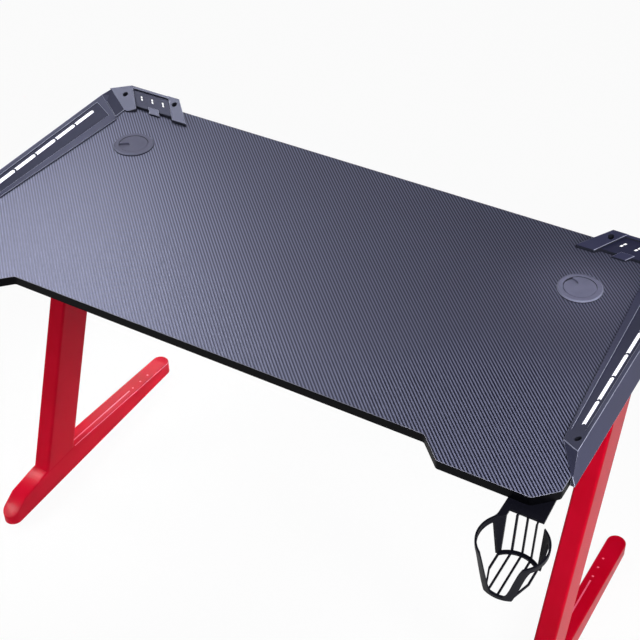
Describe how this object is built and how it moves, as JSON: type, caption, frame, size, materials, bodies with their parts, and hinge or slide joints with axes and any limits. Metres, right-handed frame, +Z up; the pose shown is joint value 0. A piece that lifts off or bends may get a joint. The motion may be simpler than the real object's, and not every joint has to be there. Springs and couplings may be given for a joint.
{
  "type": "gaming desk",
  "caption": "Free-standing gaming desk: striped board with a recessed front edge, lit side trims, cable grommets, a cup holder and leaning Z-shaped steel legs on levelling glides.",
  "frame": {"origin": "on the floor, under the middle of the whole desk's box", "axes": "+X to the right along the desk, +Y towards its rear edge, +Z up"},
  "size_m": [1.217, 0.7212, 0.7332],
  "materials": {
    "striped_foil": "particle board under a satin foil with fine diagonal ribs",
    "black_edge": "satin edge banding",
    "trim_plastic": "fine spark-eroded texture on dark moulded plastic",
    "lit_white": "translucent diffuser, lit from behind",
    "lamp_tape": "white lacquered circuit tape",
    "grommet_plastic": "satin moulded plastic",
    "red_paint": "glossy red powder coat",
    "black_steel": "satin black powder coat",
    "screw_steel": "black zinc",
    "black_plastic": "satin moulded plastic",
    "glide_rubber": "matt rubber"
  },
  "bodies": {
    "desk": {"desktop_board": "striped_foil", "edge_band": "black_edge", "front_crossbeam": "black_steel", "rear_crossbeam": "black_steel", "crossbeam_bolts": "screw_steel", "board_screws": "screw_steel", "trim_screws": "screw_steel", "housing_screws": "screw_steel", "cup_holder": "black_plastic", "cup_holder_screws": "screw_steel", "left_side_trim": "trim_plastic", "left_light_diffuser": "lit_white", "left_light_tape": "lamp_tape", "left_corner_housing": "trim_plastic", "left_corner_lens": "lit_white", "left_lamp_board": "lamp_tape", "left_power_inlet": "black_plastic", "left_grommet_sleeve": "grommet_plastic", "left_foot": "red_paint", "left_column": "red_paint", "left_top_arm": "red_paint", "left_arm_end_plates": "red_paint", "right_side_trim": "trim_plastic", "right_light_diffuser": "lit_white", "right_light_tape": "lamp_tape", "right_corner_housing": "trim_plastic", "right_corner_lens": "lit_white", "right_lamp_board": "lamp_tape", "right_power_inlet": "black_plastic", "right_grommet_sleeve": "grommet_plastic", "right_foot": "red_paint", "right_column": "red_paint", "right_top_arm": "red_paint", "right_arm_end_plates": "red_paint"},
    "left_cap": {"left_grommet_cap": "grommet_plastic"},
    "left_front_glide": {"left_front_glide": "glide_rubber"},
    "left_rear_glide": {"left_rear_glide": "glide_rubber"},
    "right_cap": {"right_grommet_cap": "grommet_plastic"},
    "right_front_glide": {"right_front_glide": "glide_rubber"},
    "right_rear_glide": {"right_rear_glide": "glide_rubber"}
  },
  "joints": [
    {"name": "left_cap_turn", "type": "hinge", "parent": "desk", "child": "left_cap", "pos_m": [-0.4525, 0.21207, 0.712], "axis": [0, 0, 1], "continuous": true},
    {"name": "left_front_glide_screw", "type": "slide", "parent": "desk", "child": "left_front_glide", "axis": [0, 0, -1], "range_m": [0, 0.01]},
    {"name": "left_rear_glide_screw", "type": "slide", "parent": "desk", "child": "left_rear_glide", "axis": [0, 0, -1], "range_m": [0, 0.01]},
    {"name": "right_cap_turn", "type": "hinge", "parent": "desk", "child": "right_cap", "pos_m": [0.4355, 0.21207, 0.712], "axis": [0, 0, 1], "continuous": true},
    {"name": "right_front_glide_screw", "type": "slide", "parent": "desk", "child": "right_front_glide", "axis": [0, 0, -1], "range_m": [0, 0.01]},
    {"name": "right_rear_glide_screw", "type": "slide", "parent": "desk", "child": "right_rear_glide", "axis": [0, 0, -1], "range_m": [0, 0.01]}
  ]
}
